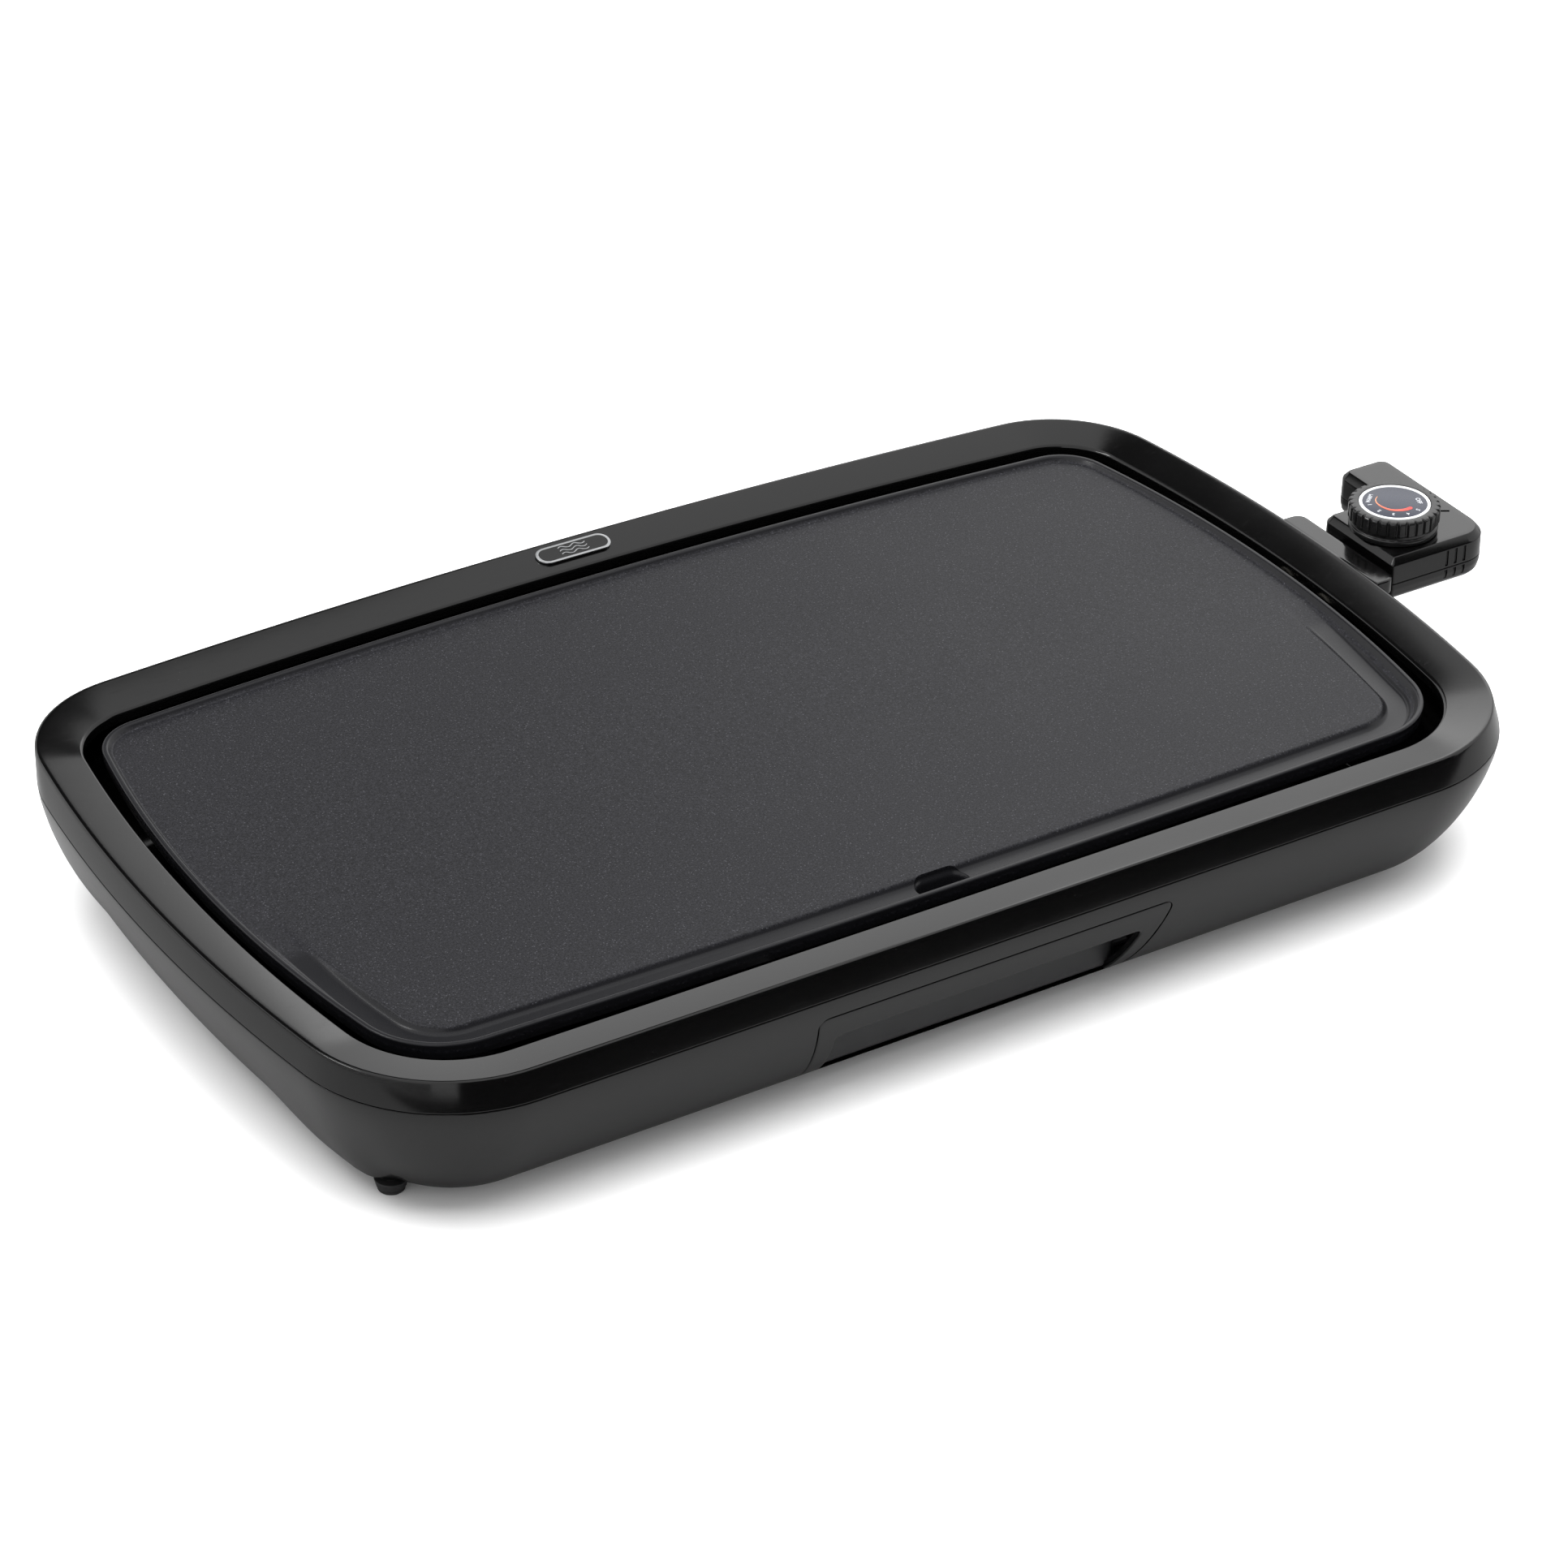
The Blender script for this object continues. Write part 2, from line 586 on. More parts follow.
holes.append(block(SEAM["a"] - 12, SEAM["a"] + 4, *PORT, ROD_Z - 5.6, TONGUE_Z + 1, 0.05))
place(cut(base, *holes), GLOSS, "housing", "base_shell", slot="gloss_black", sharp=28)

rail = [ring(plan(SEAM), SEAM_Z + 0.15), ring(plan(CREASE), WALL_TOP),
        ring(plan(CREASE, 0.5), CREASE_Z - 0.2), ring(plan(CREASE, 1.6), CREASE_Z),
        ring(plan(CREASE, 3.2), CREASE_Z - 0.3), ring(plan(OPENING, -1), EDGE_Z + 0.1),
        ring(plan(OPENING), EDGE_Z - 0.8), ring(plan(OPENING), EDGE_Z - FRAME_LIP),
        ring(plan(OPENING, -2.2), EDGE_Z - FRAME_LIP), ring(plan(OPENING, -2.4), EDGE_Z - SHELL),
        ring(plan(CREASE, 3), CREASE_Z - SHELL - 1), ring(plan(SEAM, SHELL), SEAM_Z + 0.15)]
top = solid("top_rail", eased(rail + rail[:1],
                              [0.5, 1.2, 0.5, 0.5, 0.9, 0.5, 0.5, 0.5, 0.4, 0.4, 0.5, 0.4], 5))
hood = [(CREASE["a"] - 2, HOOD[0], 0.4), (HOOD_OUT, HOOD[0], 5),
        (HOOD_OUT, HOOD[1], 5), (CREASE["a"] - 2, HOOD[1], 0.4)]
top = joined(top, slab(hood, CREASE_Z - 7.5, CREASE_Z - 0.1, 0.9))
top = cut(top, block(SEAM["a"] - 12, SEAM["a"] + 4, *PORT, SEAM_Z - 2, CREASE_Z - 7.7, 0.05))
place(top, GLOSS, "housing", "top_frame", slot="gloss_black", sharp=40)

BADGE_Y = OPENING["b"] + 11.6
SLOPE = atan2(3.4, 17.8)
badge_spot = (0, BADGE_Y, EDGE_Z + 0.1 + 10.6 * tan(SLOPE) + FIT)
pill = [(-18.8, -5.5, 5.4), (18.8, -5.5, 5.4), (18.8, 5.5, 5.4), (-18.8, 5.5, 5.4)]
place(solid("badge_pill", tilted(slab(pill, 0, 1, 0.35, 14), SLOPE, badge_spot)),
      STEEL, "housing", "badge_plate", slot="steel")
inlay = [(x * 0.93, y * 0.76, r * 0.76) for x, y, r in pill]
place(solid("badge_inlay", tilted(slab(inlay, 0.9, 1.06, 0.05, 14), SLOPE, badge_spot)),
      GLOSS, "housing", slot="gloss_black")
u = np.linspace(-7, 7, 30)
waves = [tube(np.stack([u, 2.2 * k + 0.75 * np.sin(u * 0.9), np.full(30, 1.1)], -1), 0.28, 0.1, 8)
         for k in (-1, 0, 1)]
place(solid("badge_heat_waves", *[tilted(w, SLOPE, badge_spot) for w in waves]), STEEL, "housing",
      slot="steel")

for x, y, where in FEET:
    place(solid(f"foot_{where}_fine", turned(
        [(0, 1.8), (6, 1.8), (7, 5.7), (3, 5.7), (3, 10.4), (0, 10.4)],
        (x, y), edge=0.4)), MATT, "housing", f"foot_{where}", slot="matte_black")
    place(solid(f"foot_pad_{where}_fine", turned(
        [(0, 0.3), (2.4, 0.3), (2.6, 0), (5.2, 0), (5.6, 0.4), (5.6, 1.5), (0, 1.5)],
        (x, y), edge=0.3)), RUBBER, "housing", f"foot_pad_{where}", slot="rubber")

# ---- Cooking plate ------------------------------------------------------------------


def surface(y):
    """Height of the cooking face, which falls evenly towards the front."""
    return SURFACE_MID + SURFACE_FALL * y / (2 * PLATE["b"])


def channel_ring(inset, share):
    """Ring in the grease channel: the face less a share of the depth, run out up the sides."""
    points = plan(PLATE, inset)
    run = smooth(-points[:, 1], 22, 105)
    face = surface(points[:, 1])
    return np.column_stack([points, face - run * share * (face - CHANNEL_FLOOR)])


plate_rings = [ring(plan(PLATE, 2.5), PLATE_LOW), ring(plan(PLATE, 0.9), PLATE_LOW + 1),
               ring(plan(PLATE), RIM_TOP - 0.6), ring(plan(PLATE, 0.6), RIM_TOP),
               ring(plan(PLATE, 2.4), RIM_TOP - 0.1), channel_ring(RIM_WIDTH, 0),
               channel_ring(5.3, 0.15), channel_ring(6.4, 1), channel_ring(CHANNEL + 0.7, 1),
               channel_ring(CHANNEL + 2.9, 0), channel_ring(CHANNEL + 7, 0)]
plate = solid("griddle_plate",
              eased(plate_rings, [0, 0.5, 0.4, 0.5, 0.7, 0.8, 0.6, 1.0, 1.4, 0.6, 0], 5))
drain = (TRAY_X, -PLATE["b"] + RIM_WIDTH + CHANNEL / 2 - 0.4)


def stadium(grown):
    x, y, r = 11.5 + grown, 6 + grown, 5.95 + grown
    return [(drain[0] + sx * x, drain[1] + sy * y, r)
            for sx, sy in ((-1, -1), (1, -1), (1, 1), (-1, 1))]


plate = joined(
    plate, slab(stadium(1.6), PLATE_LOW - 7, PLATE_LOW + 0.8, 0.4),
    block(*WELL, PROBE_Y - 8.5, PROBE_Y + 8.5, ROD_Z - 6.4, PLATE_LOW + 0.5, 0.8),
    *[turned([(0, 58), (7, 58), (7, 66.5), (0, 66.5)], (x, y), edge=0.5) for x, y, _ in POSTS])
lip_rings = [ring(rounded(stadium(grown), 0, 14), z) for grown, z in
             ((0, PLATE_LOW - 8), (0, CHANNEL_FLOOR - 1.3),
              (1.3, CHANNEL_FLOOR + 0.2), (1.3, RIM_TOP))]
plate = cut(plate, eased(lip_rings, [0, 1.2, 0.8, 0]),
            turned([(0, WELL[0] + 5), (3.35, WELL[0] + 5), (3.35, WELL[1] + 1), (0, WELL[1] + 1)],
                   (PROBE_Y, ROD_Z), "x", 40, 0),
            *[turned([(0, 57), (2.2, 57), (2.2, 65), (0, 65)], (x, y), sides=24, edge=0)
              for x, y, _ in POSTS])
place(plate, COAT, "housing", "cooking_plate", slot="non_stick", sharp=38)

for x, y, where in POSTS:
    place(solid(f"plate_post_{where}_fine", turned(
        [(2.6, 8.7), (9, 8.7), (9, 49.7), (6, 49.7), (6, 57.7), (2.6, 57.7), (2.6, 8.7)],
        (x, y), edge=0.4)), HOT_STEEL, "housing", f"plate_post_{where}", slot="dark_steel")
    screw = solid(f"plate_screw_{where}_fine", turned(
        [(0, 3), (4.2, 3), (4.2, 5.6), (1.9, 5.6), (1.9, 64), (0, 64)], (x, y), sides=40, edge=0.4))
    screw = cut(screw, block(x - 2.6, x + 2.6, y - 0.4, y + 0.4, 2, 4.2, 0.1))
    screw = cut(screw, block(x - 0.4, x + 0.4, y - 2.6, y + 2.6, 2, 4.2, 0.1))
    place(screw, SPUN, "housing", f"plate_screw_{where}", slot="steel")

# ---- Heating parts ------------------------------------------------------------------

element_end = WELL[1] - 2
loop_path = [(element_end, PIN_YS["back"]), (WELL[0] + 22, PIN_YS["back"]), (WELL[0] - 25, 68),
             (-150, 68), (-225, 62), (-225, -62), (-150, -68), (WELL[0] - 25, -68),
             (WELL[0] + 22, PIN_YS["front"]), (element_end, PIN_YS["front"])]
place(solid("heating_loop", tube([(x, y, ROD_Z) for x, y in loop_path], ELEMENT_R, 20, 24)),
      HOT_STEEL, "housing", "heating_element", slot="dark_steel")
guard_x = WELL[1] + 0.5
for where, y in PIN_YS.items():
    place(solid(f"terminal_bushing_{where}_fine", turned(
        [(2.1, guard_x - 1.7), (2.8, guard_x - 1.7), (2.8, guard_x + 1.8), (3.6, guard_x + 1.8),
         (3.6, guard_x + 4.2), (2.1, guard_x + 4.2), (2.1, guard_x - 1.7)],
        (y, ROD_Z), "x", 40, 0.2)),
        CERAMIC, "housing", f"terminal_bushing_{where}", slot="ceramic")
    place(solid(f"terminal_pin_{where}_fine", turned(
        [(0, element_end + FIT), (PIN_R, element_end + FIT), (PIN_R, NECK_X + 14), (1, NECK_X + 16),
         (0, NECK_X + 16)], (y, ROD_Z), "x", 40, 0.5)),
        SPUN, "housing", f"terminal_pin_{where}", slot="steel")
for node, finish, slot in [
        ("heat_shield", STEEL, "steel"), ("terminal_guard", STEEL, "steel"),
        ("tray_rail_left", MATT, "matte_black"), ("tray_rail_right", MATT, "matte_black")]:
    softened(node, finish, "housing", slot)

# ---- Drip tray ----------------------------------------------------------------------


def bowl_front(x, z):
    """y of the bowl's front at x and z, by turning the bowl's height rule round."""
    t = np.arcsin(np.clip((BOWL_TOP - z) / (BOWL_TOP - FOOT_Z), 0, 1) ** (1 / BOWL_POWER))
    draw = BOWL_INSET * (1 - np.cos(t) ** BOWL_POWER)
    r = (SEAM["a"] ** 2 + SEAM["near"] ** 2) / (2 * SEAM["near"])
    return r - SEAM["b"] - np.sqrt((r - draw) ** 2 - x ** 2)


def arch(half, z1, r=5.0):
    """Arch in x and z: up the right leg, over the top and down the left one."""
    foot, head = half - SLANT * (PANEL_TOP - PANEL_LOW), half - SLANT * (PANEL_TOP - z1)
    t = np.linspace(0, 1, 15)[:, None]
    leg0, tip = np.array([foot, PANEL_LOW]), np.array([head, z1])
    leg1, over = tip + (leg0 - tip) / np.linalg.norm(leg0 - tip) * r, tip - (r, 0)
    leg = leg0 + (leg1 - leg0) * t
    bend = (1 - t) ** 2 * leg1 + 2 * t * (1 - t) * tip + t * t * over
    half_way = np.concatenate([leg, bend[1:], over * (1 - t[1:], 1)[0] * (1, 0) + (0, z1)])
    mirrored = half_way[::-1][1:] * (-1, 1)
    return np.concatenate([half_way, mirrored]) + (TRAY_X, 0)


def on_bowl(flat, under):
    """Points of the arch on the bowl's front, sunk under it along its slope."""
    x, z = flat[:, 0], flat[:, 1]
    y = bowl_front(x, z)
    rise = (bowl_front(x, z + 0.2) - bowl_front(x, z - 0.2)) / 0.4
    length = np.sqrt(1 + rise ** 2)
    return np.column_stack([x, y + under / length, z - under * rise / length])


outside, inside = arch(PANEL_HALF, PANEL_TOP), arch(PANEL_HALF - PANEL_BORDER, BAND_LOW)
strips = [outside * (1 - s) + inside * s for s in np.linspace(0, 1, 8)]
around = [on_bowl(outside, 3)] + [on_bowl(s, 0) for s in strips] + [on_bowl(inside, 3)]
section = eased(around + around[:1], [0.3, 0.9, 0, 0, 0, 0, 0, 0, 1.2, 0.4], 4)
band = solid("tray_band", list(np.array(section[:-1]).transpose(1, 0, 2)))
shelf = (TRAY_X - PAN_HALF + 2, TRAY_X + PAN_HALF - 2)
section_of_shelf = [(-174.8, 42.6, 0.2), (PAN_FRONT - 2.3, 42.6, 0.8), (PAN_FRONT - 2.3, 37.5, 0.6),
                    (PAN_FRONT - FIT, 37.5, 0.6), (PAN_FRONT - FIT, 44.5, 0.9), (-174.8, 44.5, 0.2)]
shelf_points = rounded(section_of_shelf)
band = joined(band, [np.column_stack([np.full(len(shelf_points), x), shelf_points]) for x in shelf])
place(band, GLOSS, "tray", "tray_front", slot="gloss_black", sharp=32)

pan_corners = [(TRAY_X - PAN_HALF, PAN_FRONT, 7), (TRAY_X + PAN_HALF, PAN_FRONT, 7),
               (TRAY_X + PAN_HALF, PAN_FRONT + PAN_DEPTH, 10),
               (TRAY_X - PAN_HALF, PAN_FRONT + PAN_DEPTH, 10)]
pan_low = PANEL_LOW + 0.7
pan_rings = [ring(rounded(pan_corners, inset, 12), z) for inset, z in (
    (6, pan_low), (0, pan_low), (0, PAN_TOP), (PAN_WALL, PAN_TOP),
    (PAN_WALL, pan_low + PAN_WALL), (7, pan_low + PAN_WALL))]
pan = solid("drip_pan", eased(pan_rings, [0, 2.4, 0.5, 0.5, 2, 0], 5))
pan = joined(pan, *[
    block(*sorted((TRAY_X + s * (PAN_HALF - 0.8), TRAY_X + s * (PAN_HALF + 4))),
          PAN_FRONT + 12, PAN_FRONT + PAN_DEPTH - 12, PAN_TOP - PAN_WALL, PAN_TOP, 0.4)
    for s in (-1, 1)])
place(pan, MATT, "tray", "tray_pan", slot="matte_black")

# ---- Probe thermostat ---------------------------------------------------------------

case_corners = [(CASE_X + x, y, r) for x, y, r in [
    (0, PROBE_Y - 26, 2), (CASE_LONG + 2, PROBE_Y - 26, 15), (CASE_LONG + 3, REAR, 7),
    (32, REAR, 6), (32, PROBE_Y + 26.5, 3), (0, PROBE_Y + 26.5, 5)]]


def case_ring(inset, z):
    return ring(rounded(case_corners, inset, 12), z)


inlet = (CASE_X + 46, CASE_SPLIT)
inlet_cut = turned([(0, REAR - 7), (6.3, REAR - 7), (6.3, REAR - 2), (4.6, REAR - 2),
                    (4.6, REAR + 3), (0, REAR + 3)], inlet, "y", 48, 0)
case_screws = [(CASE_X + 6.5, PROBE_Y + 20), (CASE_X + CASE_LONG - 7, PROBE_Y - 18.5),
               (CASE_X + 39.5, REAR - 10)]


def grooves(z0, z1):
    """Three finger grooves in the front side of the case."""
    return [block(CASE_X + x, CASE_X + x + 1.6, PROBE_Y - 28, PROBE_Y - 25.1, z0, z1, 0.3)
            for x in (31, 36, 41)]


upper = solid("case_top_half", eased(
    [case_ring(4.2, CASE_TOP - CASE_WALL), case_ring(CASE_WALL, CASE_TOP - 3.6),
     case_ring(CASE_WALL, CASE_SPLIT + 0.15), case_ring(0, CASE_SPLIT + 0.15),
     case_ring(0.2, CASE_TOP - 3), case_ring(3, CASE_TOP), case_ring(6, CASE_TOP)],
    [0, 0.5, 0.3, 0.35, 0.5, 0.5, 0]))
arrow_x = CASE_X + CASE_LONG - 9.5
arrow = [(arrow_x, PROBE_Y + 1, 0.2), (arrow_x + 4.5, PROBE_Y - 1.6, 0.2),
         (arrow_x + 4.5, PROBE_Y + 3.6, 0.2)]
pillar = [(0, CASE_SPLIT + FIT), (3, CASE_SPLIT + FIT), (3, CASE_TOP - 1.5), (0, CASE_TOP - 1.5)]
upper = joined(upper, slab(arrow, CASE_TOP - 0.5, CASE_TOP + 0.4, 0.15),
               *[turned(pillar, spot, sides=32) for spot in case_screws])
upper = cut(upper, inlet_cut, *grooves(CASE_SPLIT + 1, CASE_TOP - 3.6),
            turned([(0, 72), (6.3, 72), (6.3, 80), (0, 80)], (KNOB_X, PROBE_Y), sides=64, edge=0),
            *[turned([(0, 66), (1.4, 66), (1.4, 73.5), (0, 73.5)], spot, sides=24, edge=0)
              for spot in case_screws])
place(upper, GLOSS, "probe", "probe_upper_case", slot="gloss_black", sharp=30)

lower = solid("case_lower_half", eased(
    [case_ring(6, CASE_LOW), case_ring(3, CASE_LOW), case_ring(0.8, CASE_LOW + 2.4),
     case_ring(0, CASE_SPLIT - 3), case_ring(0, CASE_SPLIT - 0.15),
     case_ring(CASE_WALL, CASE_SPLIT - 0.15), case_ring(CASE_WALL, CASE_SPLIT - 3),
     case_ring(4.2, CASE_LOW + CASE_WALL)], [0, 0.8, 0.8, 0.5, 0.35, 0.3, 0.6, 0]))
neck = block(NECK_X, CASE_X + 1, PROBE_Y - 22, PROBE_Y + 22, ROD_Z - 5, ROD_Z + 5, 0.9)
neck_room = block(NECK_X - 1, CASE_X + 5, PROBE_Y - 20.5, PROBE_Y + 20.5,
                  ROD_Z - 3.5, ROD_Z + 3.5, 0.3)
lower = cut(joined(lower, neck), neck_room)
pillar = [(0, CASE_LOW + 0.2), (3.4, CASE_LOW + 0.2), (3.4, CASE_SPLIT - FIT),
          (0, CASE_SPLIT - FIT)]
lower = joined(lower, *[turned(pillar, spot, sides=32) for spot in case_screws])
screw_hole = [(0, 57), (2.6, 57), (2.6, CASE_LOW + 2.4), (1.5, CASE_LOW + 2.4),
              (1.5, CASE_SPLIT + 1), (0, CASE_SPLIT + 1)]
lower = cut(lower, inlet_cut, *grooves(CASE_LOW + 3.4, CASE_SPLIT - 1),
            *[turned(screw_hole, spot, sides=32, edge=0) for spot in case_screws])
place(lower, GLOSS, "probe", "probe_lower_case", slot="gloss_black", sharp=30)

for i, (x, y) in enumerate(case_screws, 1):
    screw = solid(f"case_screw_{i}_fine", turned(
        [(0, 58.9), (2.3, 58.9), (2.3, 60.6), (1.1, 60.6), (1.1, 72.5), (0, 72.5)],
        (x, y), sides=32, edge=0.3))
    screw = cut(screw, block(x - 1.4, x + 1.4, y - 0.3, y + 0.3, 58, 59.8, 0.08))
    screw = cut(screw, block(x - 0.3, x + 0.3, y - 1.4, y + 1.4, 58, 59.8, 0.08))
    place(screw, SPUN, "probe", f"case_screw_{i}", slot="steel")

rod_tip = WELL[0] + 8
place(solid("sensor_rod_fine", turned(
    [(0, rod_tip), (2, rod_tip + 0.4), (ROD_R, rod_tip + 2), (ROD_R, CASE_X - 4), (0, CASE_X - 4)],
    (PROBE_Y, ROD_Z), "x", 48, 0.8)), SPUN, "probe", "sensor_rod", slot="steel")
for where, y in PIN_YS.items():
    place(solid(f"contact_socket_{where}_fine", turned(
        [(2.05, NECK_X + 3.5), (2.6, NECK_X + 3.5), (2.6, CASE_X - 4.5), (0, CASE_X - 4.5),
         (0, CASE_X - 7), (2.05, CASE_X - 7), (2.05, NECK_X + 3.5)], (y, ROD_Z), "x", 40, 0.15)),
        BRASS, "probe", f"contact_socket_{where}", slot="brass")
for node, finish, slot in [
        ("contact_block", CERAMIC, "ceramic"), ("switch_base", CERAMIC, "ceramic"),
        ("contact_arm_fixed", BRASS, "brass"), ("contact_arm_sprung", BRASS, "brass")]:
    softened(node, finish, "probe", slot, 0.12)

bush_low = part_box("spindle_bushing")[0].z / MM
place(solid("spindle_bushing_fine", turned(
    [(3.15, bush_low), (6, bush_low), (6, 78.1), (3.15, 78.1), (3.15, bush_low)],
    (KNOB_X, PROBE_Y), sides=48)), BRASS, "probe", "spindle_bushing", slot="brass")
pin_low, pin_high = (corner.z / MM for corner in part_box("follower_pin"))
place(solid("follower_pin_fine", turned(
    [(0, pin_low), (2.9, pin_low), (2.9, pin_high), (0, pin_high)],
    (KNOB_X, PROBE_Y), sides=40)), CERAMIC, "follower", "follower_pin", slot="ceramic")
gland_profile = [(3.4, -4.6), (6, -4.6), (6, -2.3), (4.3, -2.3), (4.3, 0.3), (6.4, 0.3), (6.1, 1.7),
                 (5.7, 1.7), (5.7, 2.4), (5.9, 2.4), (5.6, 3.6), (5.2, 3.6), (5.2, 4.2), (5.3, 4.2),
                 (5.1, 5), (3.4, 5), (3.4, -4.6)]
gland = turned([(r, REAR + h) for r, h in gland_profile], inlet, "y", 56, 0.25)
place(solid("cord_gland_fine", gland), RUBBER, "probe", "cord_gland", slot="rubber")
front_x, back_x = CASE_X + CASE_LONG - 7, CASE_X + CASE_LONG - 11.5
for name, path in dict(
        front=[(front_x, REAR - 12, ROD_Z + 1), (front_x, PROBE_Y - 9, ROD_Z + 1),
               (CASE_X + CASE_LONG - 17, PROBE_Y - 16.5, ROD_Z + 0.5),
               (CASE_X + 20, PROBE_Y - 18, ROD_Z),
               (CASE_X - 2, PIN_YS["front"], ROD_Z)],
        back=[(back_x, REAR - 12, ROD_Z + 1), (back_x, PROBE_Y + 20, ROD_Z + 1),
              (CASE_X + 34, PROBE_Y + 16, ROD_Z + 0.5), (CASE_X + 15, PROBE_Y + 14.2, ROD_Z),
              (CASE_X - 2, PIN_YS["back"], ROD_Z)]).items():
    lead = solid(f"lead_{name}_fine", tube(path, 1.1, 4))
    place(lead, LEAD, "probe", f"lead_{name}", slot="white")

# ---- Dial ---------------------------------------------------------------------------


def knob_rings(sides=720):
    """Knob turned from its profile, its side cut by flutes.

    The radius is the profile's, less 1.1 mm in each flute, times the third number.
    """
    t = np.linspace(0, 2 * pi, sides, endpoint=False)
    off = np.abs((t * FLUTES / (2 * pi) + 0.325) % 1 - 0.5)
    flute = 1.1 * (1 - smooth(-off, -0.44, -0.27))
    profile = [
        (0, KNOB_TOP - 1.2, 0), (16.5, KNOB_TOP - 1.2, 0), (16.5, KNOB_TOP, 0), (18.4, KNOB_TOP, 0),
        (KNOB_R - 0.7, KNOB_TOP - 0.1, 0.9), (KNOB_R, KNOB_TOP - 0.8, 1), (KNOB_R, KNOB_Z + 5.2, 1),
        (KNOB_R - 0.9, KNOB_Z + 4.6, 0.3), (KNOB_R - 1.4, KNOB_Z + 4.4, 0),
        (KNOB_R - 1.4, KNOB_Z + 3, 0), (KNOB_R - 0.4, KNOB_Z + 2.4, 0), (KNOB_R - 0.6, KNOB_Z, 0),
        (KNOB_R - 4, KNOB_Z, 0), (KNOB_R - 4, KNOB_TOP - 3.6, 0), (6.5, KNOB_TOP - 3.6, 0),
        (6.5, KNOB_Z, 0), (3.15, KNOB_Z, 0), (3.15, KNOB_TOP - 3.4, 0), (0, KNOB_TOP - 3.4, 0)]
    rings = [np.column_stack([KNOB_X + (r - k * flute) * np.cos(t),
                              PROBE_Y + (r - k * flute) * np.sin(t), np.full(sides, z)])
             for r, z, k in profile]
    return eased(rings, [0, 0.2, 0.35, 0, 0.2, 0.3, 0.3, 0.2, 0.2, 0.3,
                         0.5, 0.3, 0.3, 0.5, 0.3, 0.3, 0.1, 0.1, 0], 3)


knob = solid("knob_fluted", knob_rings())
place(knob, KNOB_BLACK, "dial", "dial_knob", slot="gloss_black", sharp=45)
knob_at = (KNOB_X, PROBE_Y)
place(solid("dial_face_fine", turned(
    [(0, KNOB_TOP - 1), (DISC_R, KNOB_TOP - 1), (DISC_R, KNOB_TOP - 0.1), (0, KNOB_TOP - 0.1)],
    knob_at, sides=96, edge=0.15)), FACE, "dial", "dial_face", slot="navy")
place(solid("dial_ring_fine", turned(
    [(RING_IN, KNOB_TOP - 1), (FACE_R, KNOB_TOP - 1), (FACE_R, KNOB_TOP + 0.1),
     (RING_IN, KNOB_TOP + 0.1), (RING_IN, KNOB_TOP - 1)],
    knob_at, sides=128, edge=0.2)), INK, "dial", "dial_ring", slot="white")
spindle_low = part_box("dial_spindle")[0].z / MM
place(solid("dial_spindle_fine", turned(
    [(0, spindle_low), (3, spindle_low), (3, KNOB_TOP - 3.7), (0, KNOB_TOP - 3.7)],
    knob_at, sides=48)), SPUN, "dial", "dial_spindle", slot="steel")


def label(text, angle, r, size):
    """Raised lettering on the dial, its head turned outwards at an angle round the dial."""
    curve = bpy.data.curves.new("lettering", "FONT")
    curve.body, curve.size, curve.extrude, curve.offset = text, size * MM, 0.05 * MM, 0.07 * MM
    curve.align_x, curve.align_y, curve.resolution_u = "CENTER", "CENTER", 6
    thing = linked("lettering", curve)
    mesh = worked_out(thing)
    bpy.data.objects.remove(thing)
    spot = (Vector((KNOB_X, PROBE_Y, KNOB_TOP - 0.05)) + Vector(MIDDLE)) * MM
    out = Vector((cos(radians(angle)), sin(radians(angle)), 0)) * r * MM
    mesh.transform(Matrix.Translation(spot + out) @ Matrix.Rotation(radians(angle - 90), 4, "Z"))
    return linked(f"dial_mark_{text.lower()}", tidied(mesh))


for text, angle, r, size in [
        ("OFF", 337, 11.2, 3.06), ("WARM", 131, 11.7, 2.61), ("1", 160, 11.8, 2.79),
        ("2", 194, 11.4, 2.79), ("3", 229, 11.4, 2.79), ("4", 263, 11.7, 2.79),
        ("5", 293, 11.9, 2.79)]:
    place(label(text, angle, r, size), LETTER_INK, "dial", slot="white")

t = np.linspace(radians(112), radians(297), 70)
share = (t - t[0]) / (t[-1] - t[0])
half = 0.1 + 1.05 * share ** 1.2 * np.sqrt(np.clip((1 - share) / 0.04, 0, 1))
middle = 9.1 - 1.6 * smooth(share, 0, 0.45) + 0.8 * smooth(share, 0.7, 1)
swoosh = []
for r, z in ((middle - half, KNOB_TOP - 0.12), (middle + half, KNOB_TOP - 0.12),
             (middle + half, KNOB_TOP - 0.02), (middle - half, KNOB_TOP - 0.02)):
    x, y = KNOB_X + r * np.cos(t), PROBE_Y + r * np.sin(t)
    swoosh.append(np.column_stack([x, y, np.full(70, z)]))
heat_scale = solid("dial_heat_scale", list(np.array(swoosh).transpose(1, 0, 2)))
place(heat_scale, SCALE_INK, "dial", slot="white")

# ---- Studio -------------------------------------------------------------------------


def sheet(name, corners, finish):
    """Flat stage card through four corners in millimetres."""
    mesh = bpy.data.meshes.new(name)
    mesh.from_pydata([tuple(c * MM for c in corner) for corner in corners], [], [(0, 1, 2, 3)])
    thing = linked(name, mesh)
    mesh.materials.append(finish)
    return thing


def paper(name, tone):
    f = Finish(name)
    f.shader.inputs["Specular IOR Level"].default_value = 0.05
    grain = f.noise(30, 3)
    return f.feed(Base_Color=f.mix(grain, (tone,) * 3, (tone * 0.985,) * 3),
                  Roughness=0.9 + grain * 0.02)


def level(x0, x1, y0, y1, z):
    return [(x0, y0, z), (x1, y0, z), (x1, y1, z), (x0, y1, z)]


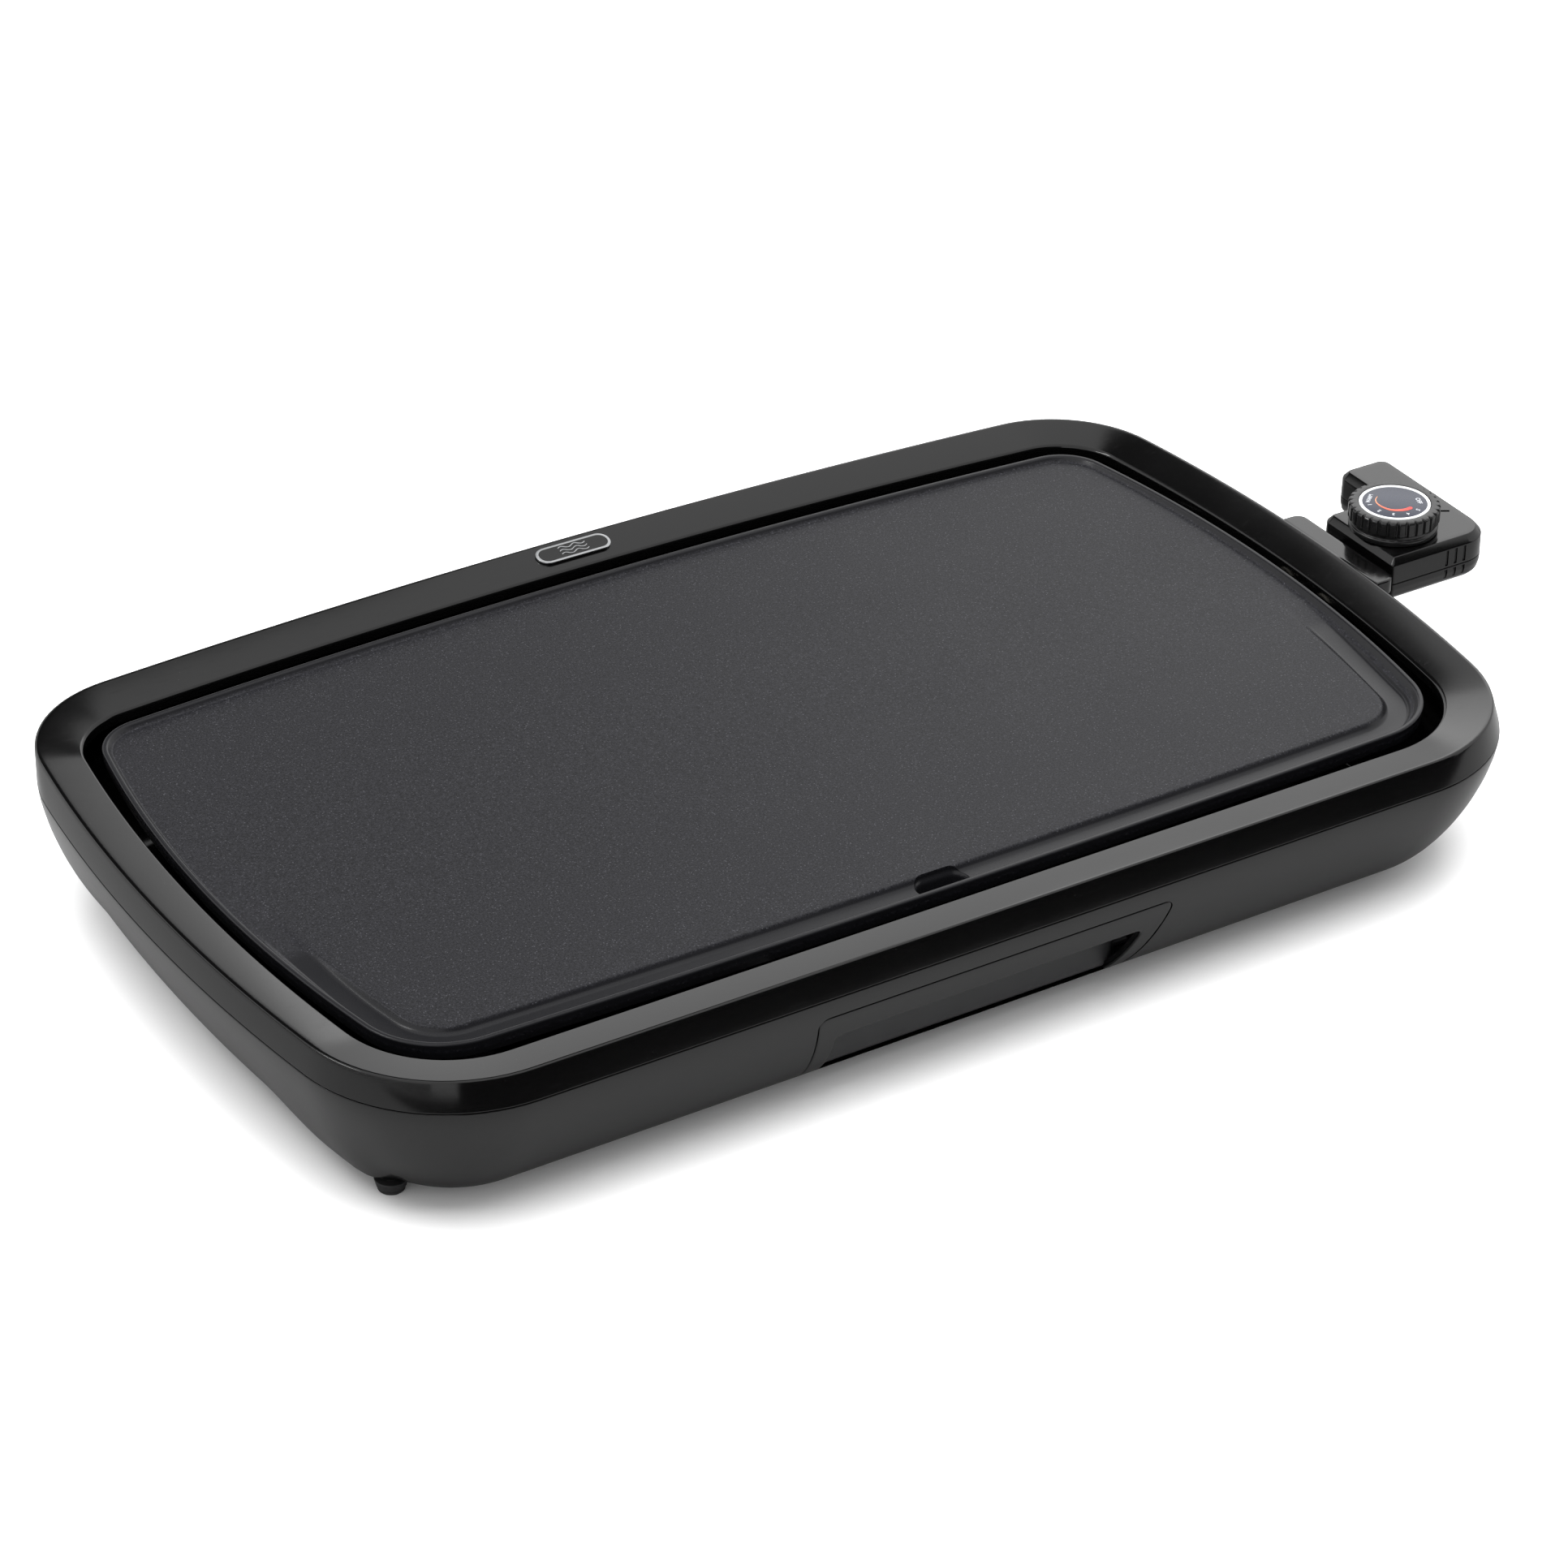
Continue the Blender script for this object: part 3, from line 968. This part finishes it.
def upright(x0, x1, y, z0, z1):
    return [(x0, y, z0), (x1, y, z0), (x1, y, z1), (x0, y, z1)]


FAR = 9000
sheet("floor", level(-FAR, FAR, -FAR, FAR, 0), paper("white_paper", 0.93))
flag = paper("black_flag", 0.003)
# These cards are seen only in the gloss of the mouldings.
cards = [sheet("flag_front", upright(-1400, 3400, -2600, 0, 4200), flag),
         sheet("flag_floor", level(-1400, 3400, -2600, -530, 1), flag),
         sheet("flag_back", upright(-900, 1150, 1860, 1000, 2300), flag),
         sheet("flag_left", [(-2400, -2600, 0), (-2400, 2600, 0), (-2400, 2600, 900),
                             (-2400, -2600, 900)], paper("grey_flag", 0.3)),
         sheet("floor_gloss", level(-FAR, FAR, -FAR, FAR, 0.5), paper("grey_paper", 0.27))]
for card in cards:
    card.visible_camera = card.visible_diffuse = False
    card.visible_shadow = card.visible_transmission = False

world = bpy.data.worlds.new("studio")
scene.world = world
world.use_nodes = True
background = world.node_tree.nodes["Background"]
background.inputs["Color"].default_value = (1, 1, 1, 1)
background.inputs["Strength"].default_value = 1.0


def softbox(name, at, wide, tall, power):
    """Rectangular light at a place in metres, aimed at the frame's origin."""
    light = bpy.data.lights.new(name, "AREA")
    light.shape, light.size, light.size_y = "RECTANGLE", wide, tall
    light.energy = power
    thing = linked(name, light)
    thing.location = at
    thing.rotation_euler = (-Vector(at)).to_track_quat("-Z", "Y").to_euler()
    return thing


softbox("back_softbox", (1.92, 1.86, 1.36), 1.4, 0.84, 4)
softbox("top_strip", (-1.6, 0.9, 2.2), 1.2, 0.25, 14)
ceiling = softbox("ceiling", (-0.2, -0.3, 2.4), 2.4, 2.4, 125)
ceiling.visible_glossy = False

scene.view_settings.view_transform = "Standard"

# ---- Camera -------------------------------------------------------------------------

EYE = (-986.9, -1554.1, 1178.7)
azimuth, elevation, roll = radians(-32.599), radians(31.689), radians(0.903)
ahead = Vector((-sin(azimuth) * cos(elevation), cos(azimuth) * cos(elevation), -sin(elevation)))
right = Vector((cos(azimuth), sin(azimuth), 0))
above = right.cross(ahead)
side = right * cos(roll) + above * sin(roll)
head = above * cos(roll) - right * sin(roll)
lens = bpy.data.cameras.new("camera")
lens.lens, lens.sensor_width = 114.93, 36
lens.clip_start, lens.clip_end = 0.05, 40
camera = linked("camera", lens)
turn = Matrix((side, head, -ahead)).transposed().to_4x4()
camera.matrix_world = Matrix.Translation((Vector(EYE) + Vector(MIDDLE)) * MM) @ turn
scene.camera = camera
